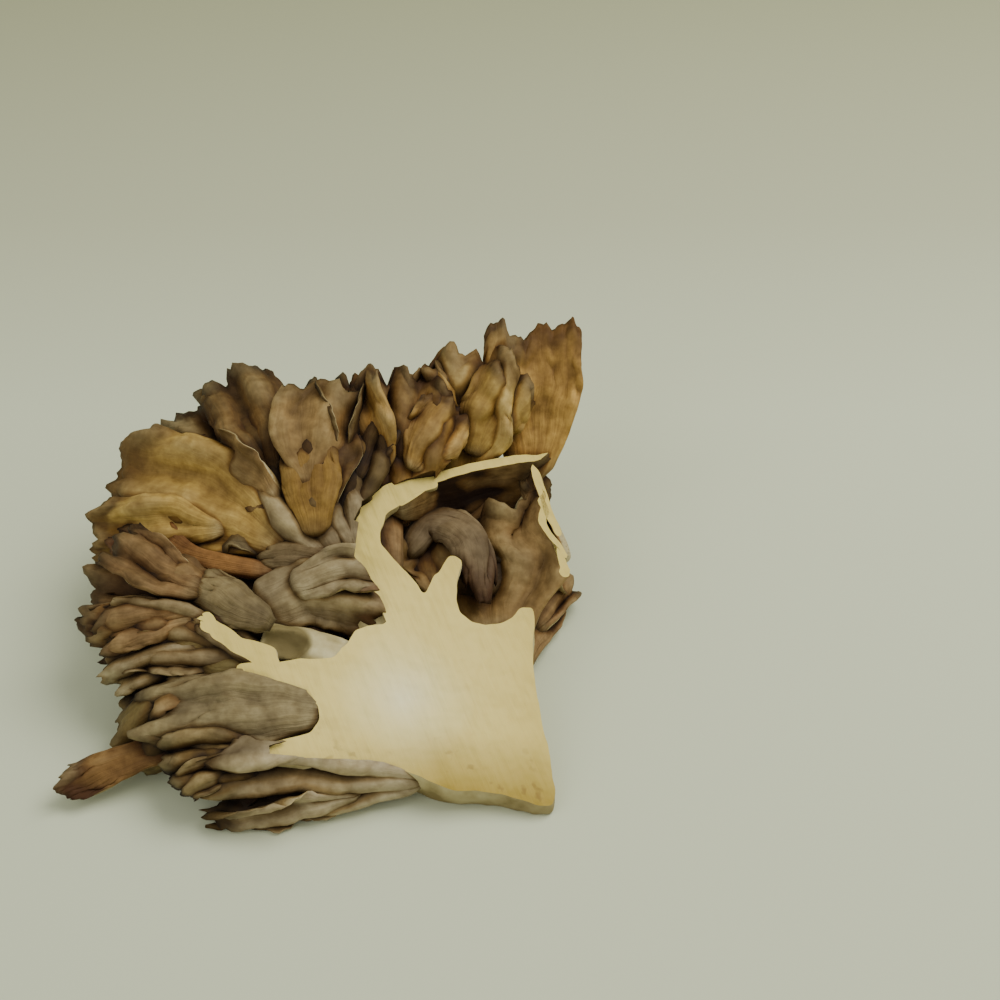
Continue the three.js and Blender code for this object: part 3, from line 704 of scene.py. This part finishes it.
def box_over(name, place, normal, depth):
    """A wide box that stands on the plane through a place, on the side its normal points to."""
    box = bmesh.new()
    bmesh.ops.create_cube(box, size=1)
    size = Matrix.Diagonal((CUTTER_WIDTH, CUTTER_WIDTH, depth, 1))
    turn = normal.to_track_quat("Z", "Y").to_matrix().to_4x4()
    bmesh.ops.transform(box, matrix=size, verts=box.verts[:])
    bmesh.ops.translate(box, vec=(0, 0, depth / 2), verts=box.verts[:])
    bmesh.ops.transform(box, matrix=Matrix.Translation(place) @ turn, verts=box.verts[:])
    return solid_cutter(box, name)


def solid_cutter(body, name, look=CUT):
    """A closed mesh that fronds are carved with, and the material slot of the faces it leaves."""
    for face in body.faces:
        face.material_index = look
    cutter = finished(body, name)
    # Slots are matched by their material where both have it, and by their place where they don't.
    filler = ("cut flesh", cut_flesh) if look == CUT else ("trunk skin", trunk_skin)
    for _ in range(PARTED + 1):
        cutter.data.materials.append(material_named(*filler))
    cutter.hide_render = True
    return cutter


def merged_trunk():
    """A copy of the part's trunk with its corners joined."""
    body = bmesh.new()
    body.from_mesh(frame["nodes"]["trunk"].data)
    bmesh.ops.remove_doubles(body, verts=body.verts[:], dist=SAME_CORNER)
    return body


def space_over_face():
    """The space over the trunk's cut face, where the knife took everything away."""
    body = merged_trunk()
    below = [
        face for face in body.faces
        if any(abs((vert.co - KNIFE).dot(CUT_NORMAL)) > IN_PLANE * MM for vert in face.verts)]
    bmesh.ops.delete(body, geom=below, context="FACES")
    bottom = body.faces[:]
    raised = bmesh.ops.extrude_face_region(body, geom=bottom, use_keep_orig=True)["geom"]
    top = [item for item in raised if isinstance(item, bmesh.types.BMVert)]
    bmesh.ops.translate(body, verts=body.verts[:], vec=-SUNK * MM * CUT_NORMAL)
    bmesh.ops.translate(body, verts=top, vec=CLEARED * MM * CUT_NORMAL)
    bmesh.ops.recalc_face_normals(body, faces=body.faces[:])
    return solid_cutter(body, "space_over_face", PARTED)


def carved(piece, cutters):
    """Takes the cutters' solids out of a piece and keeps the largest of what is left."""
    for cutter in cutters:
        cut = piece.modifiers.new(cutter.name, "BOOLEAN")
        cut.operation = "DIFFERENCE"
        cut.solver = "MANIFOLD"
        cut.object = cutter
    graph = bpy.context.evaluated_depsgraph_get()
    body = bmesh.new()
    body.from_mesh(piece.evaluated_get(graph).data)
    bmesh.ops.delete(body, geom=smaller_islands(body), context="FACES")
    name = piece.name
    bpy.data.objects.remove(piece)
    bmesh.ops.dissolve_degenerate(body, edges=body.edges[:], dist=NO_LENGTH)
    return finished(body, name)


def smaller_islands(body):
    """The faces of every separate part of a mesh but the one with the largest area."""
    left = set(body.faces)
    islands = []
    while left:
        front = [left.pop()]
        island = list(front)
        while front:
            face = front.pop()
            near = {other for edge in face.edges for other in edge.link_faces} & left
            left -= near
            front.extend(near)
            island.extend(near)
        islands.append(island)
    islands.sort(key=lambda island: sum(face.calc_area() for face in island))
    return [face for island in islands[:-1] for face in island]


class Cutters:
    """The solids that fronds are carved with, there only while a block of work runs."""

    def __enter__(self):
        self.trunk = solid_cutter(merged_trunk(), "trunk_solid", PARTED)
        self.space = space_over_face()
        self.floor = box_over("floor_solid", Vector((0, 0, 0)), Vector((0, 0, -1)), CUTTER_DEPTH)
        under = KNIFE - UNDER_PLANE * MM * CUT_NORMAL
        self.knife = box_over("knife_solid", under, CUT_NORMAL, CUTTER_DEPTH)
        return self

    def __exit__(self, *reason):
        for cutter in (self.trunk, self.space, self.floor, self.knife):
            bpy.data.objects.remove(cutter)

    def for_frond(self, frond):
        """The solids that a frond gives way to. A cut frond's flesh runs on into the trunk's."""
        if frond.get("cut"):
            return [self.floor, self.knife]
        return [self.floor, self.trunk, self.space]


def material_named(name, maker, *details):
    """A material made once and used again by every piece that asks for it."""
    return bpy.data.materials.get(name) or maker(*details)


def side_lobes(frond):
    """Smaller caps that leave the frond's stalk at its sides, over or under it, by seeded draws."""
    draw = random.Random(round(1000 * frond["phase"]) + LOBE_SEED).uniform
    stalk, cap = frond["widths"]
    for i in range(frond.get("lobes", 2)):
        side = 1 if i % 2 else -1
        places = []
        # How far along the frond, how far out of its middle, and how high over it.
        route = (
            (0.3, 0.1, 0),
            (0.6, 0.3, draw(1.5, 4)),
            (draw(0.82, 0.97), draw(0.42, 0.6), draw(-2, 4)),
        )
        for share, out, lift in route:
            place, way = along_spine(frond["spine"], share)
            upper = (frond["up"] - way * frond["up"].dot(way)).normalized()
            sideways = way.cross(upper)
            rise = lift if i < 2 else -lift
            places.append(tuple(place + sideways * (side * out * cap) + upper * rise))
        up = frond["up"] + sideways * (side * draw(0.1, 0.5))
        yield dict(
            frond, spine=places, up=up.normalized(), widths=(0.6 * stalk, cap * draw(0.5, 0.68)),
            opens=FAN, cup=draw(-0.3, 0.3), waves=2, ripple=draw(1.2, 2.2),
            phase=frond["phase"] + 0.7 * (i + 1))


def joined(pieces, name):
    """Several pieces as one."""
    body = bmesh.new()
    for piece in pieces:
        body.from_mesh(piece.data)
        bpy.data.objects.remove(piece)
    return finished(body, name)


def fewer(steps, share):
    """A share of the steps across and along, rounded down."""
    return tuple(int(count * share) for count in steps)


def dress_frond(name, frond, steps, cutters):
    """Makes one frond with its side lobes, gives it its skins and lets it stand for its node."""
    skin = frond["skin"]
    upper_skin = material_named(f"{skin} cap skin", cap_skin, skin, SKINS[skin])
    skins = (
        upper_skin,
        material_named("pore layer", pore_layer),
        material_named("cut flesh", cut_flesh),
        upper_skin,
    )
    blades = [frond_mesh(f"{name}_blade", frond, steps, skins)]
    for lobe in side_lobes(frond):
        blades.append(frond_mesh(f"{name}_lobe", lobe, fewer(steps, LOBE_STEPS), skins))
    solids = cutters.for_frond(frond)
    piece = joined([carved(blade, solids) for blade in blades], f"{name}_cap")
    for material in skins:
        piece.data.materials.append(material)
    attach(piece, BODY)
    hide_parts(name)


def measure_painted_shade(pieces, others):
    """Stores on every vertex, for the painted shade, the share of the space before it that other
    skin takes.
    """
    places, polygons = [], []
    for piece in pieces + others:
        first = len(places)
        places.extend(vert.co.copy() for vert in piece.data.vertices)
        polygons.extend([first + i for i in polygon.vertices] for polygon in piece.data.polygons)
    crowd = BVHTree.FromPolygons(places, polygons)
    reach = FEELER_REACH * MM
    for piece in pieces:
        values = []
        for vert in piece.data.vertices:
            normal = vert.normal
            start = vert.co + normal * (FEELER_START * MM)
            taken = total = 0.0
            for way in FEELER_SETS[vert.index % len(FEELER_SETS)]:
                facing = way.dot(normal)
                if facing > FEELER_SLANT:
                    total += facing
                    distance = crowd.ray_cast(start, way, reach)[3]
                    if distance is not None:
                        taken += facing * (1 - distance / reach)
            values.append(taken / total if total else 0.0)
        edges = [tuple(edge.vertices) for edge in piece.data.edges]
        gloom = piece.data.attributes.new("gloom", "FLOAT", "POINT")
        gloom.data.foreach_set("value", evened(values, edges))


def evened(values, edges):
    """Values of a mesh's vertices, evened out between neighbours."""
    for _ in range(EVENING_ROUNDS):
        sums = list(values)
        counts = [1] * len(values)
        for a, b in edges:
            sums[a] += values[b]
            sums[b] += values[a]
            counts[a] += 1
            counts[b] += 1
        values = [total / count for total, count in zip(sums, counts)]
    return values


def share_left(turn, share, start, end):
    """The share that is left at an angle: all of it at one angle, eased to the share at another."""
    return mix(1, share, smooth((turn - start) / (end - start), 0, 1))


def outer_fronds():
    """The fronds of the rounded outside, by the part's own rule and draws."""
    draws = seeded_draws(OUTER_SEED)
    cx, cy = TRUNK_CENTRE
    for row in OUTER_ROWS:
        for i in range(row["count"]):
            turn = mix(*row["turn"], i / (row["count"] - 1)) + 6 * (next(draws) - 0.5)
            way = math.radians(turn)
            length = row["reach"] * (0.95 + 0.1 * next(draws)) * share_left(turn, **SHORTER_RIGHT)
            start = min(row["root"], 0.6 * length)
            height = share_left(turn, **LOWER_LEFT) * share_left(turn, **LOWER_RIGHT)
            spine = [
                (cx + r * math.cos(way), cy + r * math.sin(way), height * z)
                for r, z in zip((start, mix(start, length, 0.55), length), row["rise"])
            ]
            width = row["cap"] * (0.9 + 0.2 * next(draws))
            cup = -0.2 + 0.2 * next(draws)
            yield f"frond_{row['row']}_{i + 1}", dict(
                spine=spine, face=(0.8 * math.cos(way), 0.8 * math.sin(way), 1), widths=(15, width),
                opens=FAN, cup=cup, waves=2, ripple=2, skin=OUTER_SKINS[i % len(OUTER_SKINS)],
                phase=6 * next(draws))


class MaitakeSettings(bpy.types.PropertyGroup):
    """Sizes, divisions and the camera's view that a user would change."""

    across: bpy.props.IntProperty(
        name="Steps across", description="Divisions across a frond that the cut side shows",
        default=52, min=8)
    along: bpy.props.IntProperty(
        name="Steps along", description="Divisions along a frond that the cut side shows",
        default=40, min=8)
    flesh_grain: bpy.props.FloatProperty(
        name="Flesh grain", description="Size of the trunk's fine surface divisions",
        default=0.8 * MM, unit="LENGTH")
    flesh_relief: bpy.props.FloatProperty(
        name="Flesh relief", description="Height of the dents on the trunk's uncut outside",
        default=0.7 * MM, unit="LENGTH")
    camera_rise: bpy.props.FloatProperty(
        name="Camera rise", description="How far the camera looks down",
        default=math.radians(43), subtype="ANGLE")
    camera_reach: bpy.props.FloatProperty(
        name="Camera distance", description="From the camera to what it looks at",
        default=0.6, unit="LENGTH")


class MAITAKE_OT_trunk(bpy.types.Operator):
    """Makes the trunk of cut flesh"""

    bl_idname = "maitake.trunk"
    bl_label = "Trunk"

    def execute(self, context):
        settings = context.scene.maitake
        body = merged_trunk()
        raised = [v for v in body.verts if abs((v.co - KNIFE).dot(CUT_NORMAL)) < IN_PLANE * MM]
        bmesh.ops.translate(body, verts=raised, vec=(0, 0, RAISED * MM))
        rough_body = finished(body, "trunk_rough")
        remesh = rough_body.modifiers.new("flesh", "REMESH")
        remesh.mode = "VOXEL"
        remesh.voxel_size = settings.flesh_grain
        body = bmesh.new()
        body.from_mesh(rough_body.evaluated_get(context.evaluated_depsgraph_get()).data)
        bpy.data.objects.remove(rough_body)
        for _ in range(ROUNDING_TURNS):
            bmesh.ops.smooth_vert(
                body, verts=body.verts[:], factor=0.5,
                use_axis_x=True, use_axis_y=True, use_axis_z=True)
        body.normal_update()
        for vert in body.verts:
            bulge = sum(share * rough(size * MM, *vert.co) for share, size in FLESH_DENTS)
            vert.co += vert.normal * (SWELLING * MM + bulge * settings.flesh_relief)
        for face in body.faces:
            face.material_index = UNDER
        for place, normal in ((KNIFE, CUT_NORMAL), (Vector((0, 0, 0)), Vector((0, 0, -1)))):
            geometry = body.verts[:] + body.edges[:] + body.faces[:]
            sliced = bmesh.ops.bisect_plane(
                body, geom=geometry, dist=NO_LENGTH, plane_co=place, plane_no=normal,
                clear_outer=True)
            rim = [item for item in sliced["geom_cut"] if isinstance(item, bmesh.types.BMEdge)]
            filled = bmesh.ops.triangle_fill(body, edges=rim, use_beauty=True, normal=normal)
            for face in filled["geom"]:
                if isinstance(face, bmesh.types.BMFace):
                    face.material_index = CUT
        piece = finished(body, "trunk_flesh")
        flesh = material_named("cut flesh", cut_flesh)
        for material in (flesh, material_named("trunk skin", trunk_skin), flesh):
            piece.data.materials.append(material)
        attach(piece, BODY)
        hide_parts("trunk")
        return {"FINISHED"}


class MAITAKE_OT_cut_side_fronds(bpy.types.Operator):
    """Makes the fronds that the cut side shows"""

    bl_idname = "maitake.cut_side_fronds"
    bl_label = "Cut side fronds"

    def execute(self, context):
        settings = context.scene.maitake
        with Cutters() as cutters:
            for phase, (name, entry) in enumerate(CUT_SIDE_FRONDS.items()):
                frond = dict(entry, phase=phase, up=Vector(entry["face"]).normalized())
                dress_frond(name, frond, (settings.across, settings.along), cutters)
        return {"FINISHED"}


class MAITAKE_OT_outer_fronds(bpy.types.Operator):
    """Makes the fronds of the rounded outside"""

    bl_idname = "maitake.outer_fronds"
    bl_label = "Outer fronds"

    def execute(self, context):
        settings = context.scene.maitake
        steps = fewer((settings.across, settings.along), OUTER_STEPS)
        with Cutters() as cutters:
            for name, entry in outer_fronds():
                frond = dict(entry, up=Vector(entry["face"]).normalized())
                dress_frond(name, frond, steps, cutters)
        return {"FINISHED"}


class MAITAKE_OT_painted_shade(bpy.types.Operator):
    """Paints shade into the skins where fronds crowd together"""

    bl_idname = "maitake.gloom"
    bl_label = "Painted shade between fronds"

    def execute(self, context):
        pieces = [piece for piece in context.scene.objects if piece.name.endswith("_cap")]
        measure_painted_shade(pieces, [bpy.data.objects["trunk_flesh"]])
        return {"FINISHED"}


class MAITAKE_OT_stage(bpy.types.Operator):
    """Sets the floor, the lights and the camera"""

    bl_idname = "maitake.stage"
    bl_label = "Studio"

    def execute(self, context):
        settings = context.scene.maitake
        self.floor()
        self.lights(context)
        self.camera(context, settings)
        return {"FINISHED"}

    def floor(self):
        """A wide sheet of paper that sweeps up behind the object."""
        sheet = bmesh.new()
        bmesh.ops.create_grid(sheet, x_segments=8, y_segments=60, size=PAPER_HALF)
        for vert in sheet.verts:
            beyond = max(0.0, vert.co.y - SWEEP_START)
            vert.co.z = SWEEP * beyond * beyond
        for face in sheet.faces:
            face.smooth = True
        mesh = bpy.data.meshes.new("studio_floor")
        sheet.to_mesh(mesh)
        sheet.free()
        mesh.materials.append(studio_paper())
        floor = bpy.data.objects.new("studio_floor", mesh)
        bpy.context.collection.objects.link(floor)
        floor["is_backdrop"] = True

    def lights(self, context):
        """One large soft light high at the right, a weaker one from the left, and pale air."""
        for name, place, size, power in LIGHTS:
            light = bpy.data.lights.new(name, "AREA")
            light.size = size
            light.energy = power
            holder = bpy.data.objects.new(name, light)
            holder.location = place
            holder.rotation_euler = (-Vector(place)).to_track_quat("-Z", "Y").to_euler()
            context.collection.objects.link(holder)
        world = bpy.data.worlds.new("studio_air")
        world.use_nodes = True
        background = world.node_tree.nodes["Background"]
        background.inputs["Color"].default_value = linear(AIR)
        background.inputs["Strength"].default_value = AIR_STRENGTH
        context.scene.world = world

    def camera(self, context, settings):
        """Looks along +Y and down at the half, which stands left of the middle of the picture."""
        target = (LOOKED_AT - MIDDLE) * MM
        rise = settings.camera_rise
        lens = bpy.data.cameras.new("camera")
        lens.sensor_width = 36
        lens.lens = lens.sensor_width / 2 / math.tan(VIEW_ANGLE / 2)
        camera = bpy.data.objects.new("camera", lens)
        back = Vector((0, -math.cos(rise), math.sin(rise)))
        camera.location = target + back * settings.camera_reach
        camera.rotation_euler = (-back).to_track_quat("-Z", "Y").to_euler()
        context.collection.objects.link(camera)
        context.scene.camera = camera


class MAITAKE_PT_panel(bpy.types.Panel):
    """Lists the pieces of the half"""

    bl_idname = "MAITAKE_PT_panel"
    bl_label = "Maitake half"
    bl_space_type = "VIEW_3D"
    bl_region_type = "UI"
    bl_category = "Maitake"

    def draw(self, context):
        settings = context.scene.maitake
        names = ("across", "along", "flesh_grain", "flesh_relief", "camera_rise", "camera_reach")
        for name in names:
            self.layout.prop(settings, name)
        for operator in PIECES:
            self.layout.operator(operator.bl_idname)


PIECES = (
    MAITAKE_OT_trunk, MAITAKE_OT_cut_side_fronds, MAITAKE_OT_outer_fronds, MAITAKE_OT_painted_shade,
    MAITAKE_OT_stage)
CLASSES = (MaitakeSettings, *PIECES, MAITAKE_PT_panel)


def register():
    for cls in CLASSES:
        bpy.utils.register_class(cls)
    bpy.types.Scene.maitake = bpy.props.PointerProperty(type=MaitakeSettings)


def unregister():
    del bpy.types.Scene.maitake
    for cls in reversed(CLASSES):
        bpy.utils.unregister_class(cls)


def main():
    register()
    bpy.ops.maitake.trunk()
    bpy.ops.maitake.cut_side_fronds()
    bpy.ops.maitake.outer_fronds()
    # Paints shade into the skins where fronds crowd together.
    bpy.ops.maitake.gloom()
    bpy.ops.maitake.stage()
    boxes = {"cad": CAD_BOX, "visual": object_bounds()}
    {name: [list(corner) for corner in box] for name, box in boxes.items()}


if __name__ == "__main__":
    main()
